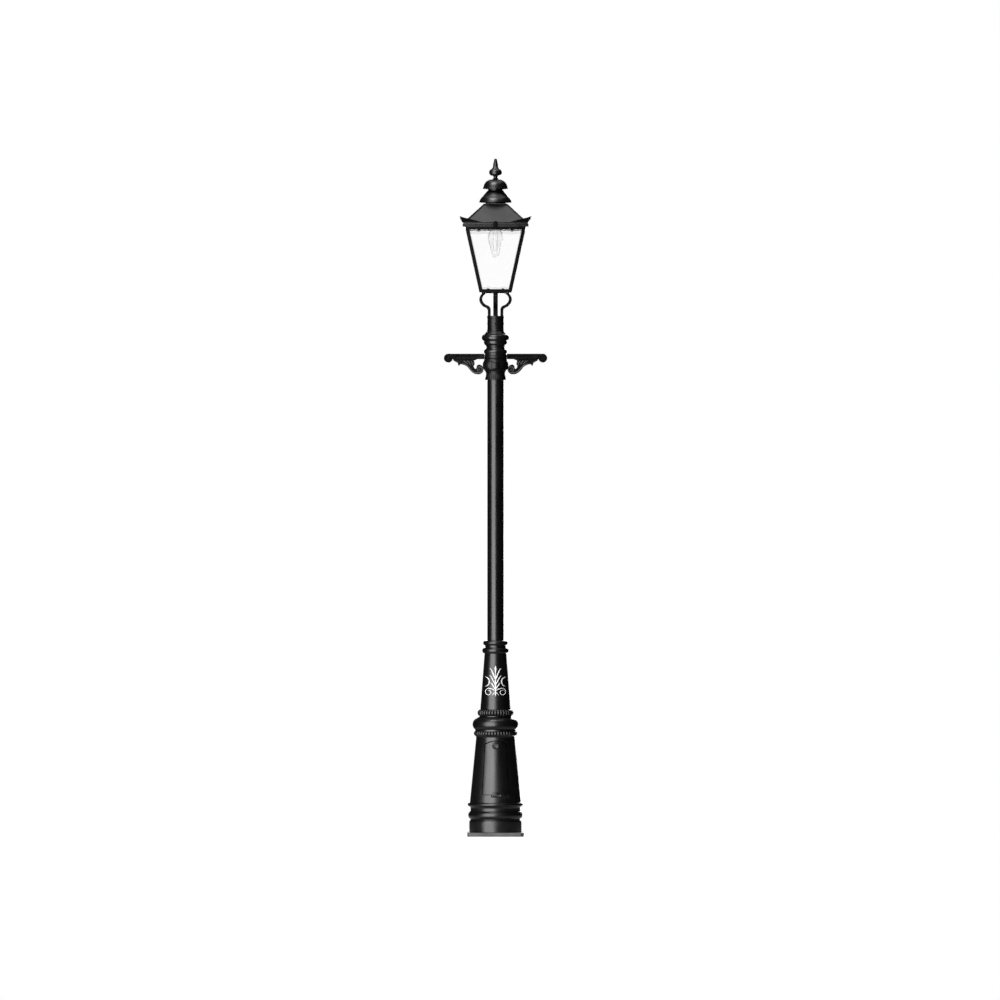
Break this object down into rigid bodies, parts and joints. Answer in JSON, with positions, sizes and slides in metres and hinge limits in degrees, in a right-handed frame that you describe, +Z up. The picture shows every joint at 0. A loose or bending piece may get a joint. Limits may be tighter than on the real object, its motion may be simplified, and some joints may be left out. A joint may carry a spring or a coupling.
{
  "type": "street lamp post",
  "caption": "Cast-iron street lamp post with a tapered pedestal, hinged base door, parallel shaft, ladder arms and a square tapered lantern with hinged roof.",
  "frame": {"origin": "middle of the root plate's underside, on the ground", "axes": "+Z up along the shaft, -Y to the front (door and relief), +X along the right-hand arm seen from the front"},
  "size_m": [0.558, 0.3888, 3.658],
  "materials": {
    "black_casting": "glossy black paint over sand casting",
    "black_tube": "glossy black paint on drawn steel tube",
    "black_sheet": "glossy black paint on sheet and bar",
    "roof_sheet": "satin black paint on folded sheet",
    "silver_relief": "silver painted relief with dark recesses",
    "pane_glass": "clear glazing",
    "lamp_glass": "clear lamp envelope",
    "zinc_steel": "zinc plated steel",
    "brass": "machined brass",
    "lock_metal": "black paint, rubbed",
    "porcelain": "glazed porcelain",
    "board": "varnished plywood",
    "moulding": "moulded insulation",
    "gear_case": "pale grey enamel"
  },
  "bodies": {
    "post": {"base_plate": "black_casting", "base_casting": "black_casting", "upper_casting": "black_casting", "capital_boss": "black_casting", "capital_crown": "black_casting", "ladder_bar_left": "black_casting", "ladder_bar_right": "black_casting", "scroll_bracket_left": "black_casting", "scroll_bracket_right": "black_casting", "cradle_collar": "black_casting", "cradle_leg_front": "black_casting", "cradle_leg_back": "black_casting", "cradle_leg_left": "black_casting", "cradle_leg_right": "black_casting", "cradle_plate": "black_casting", "set_screws": "black_casting", "shaft_tube": "black_tube", "spigot_tube": "black_tube", "bottom_frame": "black_sheet", "corner_bar_1": "black_sheet", "corner_bar_2": "black_sheet", "corner_bar_3": "black_sheet", "corner_bar_4": "black_sheet", "top_frame": "black_sheet", "catch_keeper": "black_sheet", "lantern_floor": "black_sheet", "glazing_clips": "black_sheet", "leaf_ornament": "silver_relief", "pane_front": "pane_glass", "pane_back": "pane_glass", "pane_left": "pane_glass", "pane_right": "pane_glass", "lamp_glass": "lamp_glass", "flange_bolts": "zinc_steel", "arm_studs": "zinc_steel", "shaft_seat": "zinc_steel", "lamp_bridge": "zinc_steel", "door_hinge_pin": "zinc_steel", "roof_hinge_pin": "zinc_steel", "cable_gland": "brass", "earth_stud": "brass", "lamp_cap": "brass", "lampholder": "porcelain", "backboard": "board", "fused_cutout": "moulding", "control_gear": "gear_case"},
    "door": {"door_panel": "black_casting", "lock_body": "lock_metal"},
    "lock": {"lock_barrel": "lock_metal"},
    "roof": {"roof_fascia": "black_sheet", "roof_shell": "roof_sheet", "corner_ears": "black_sheet", "chimney_neck": "black_sheet", "lower_cowl": "black_sheet", "upper_cowl": "black_sheet", "finial": "black_sheet", "finial_rod": "zinc_steel"},
    "catch": {"roof_catch": "black_sheet"}
  },
  "joints": [
    {"name": "door_hinge", "type": "hinge", "parent": "post", "child": "door", "pos_m": [0, -0.142, 0.219], "axis": [1, 0, 0], "range_deg": [0, 100]},
    {"name": "lock_turn", "type": "hinge", "parent": "door", "child": "lock", "pos_m": [0, -0.1, 0.489], "axis": [0, -1, 0], "range_deg": [0, 90]},
    {"name": "roof_hinge", "type": "hinge", "parent": "post", "child": "roof", "pos_m": [0, 0.1845, 3.283], "axis": [-1, 0, 0], "range_deg": [0, 95]},
    {"name": "catch_turn", "type": "hinge", "parent": "roof", "child": "catch", "pos_m": [0, -0.181, 3.298], "axis": [0, -1, 0], "range_deg": [0, 90]}
  ]
}
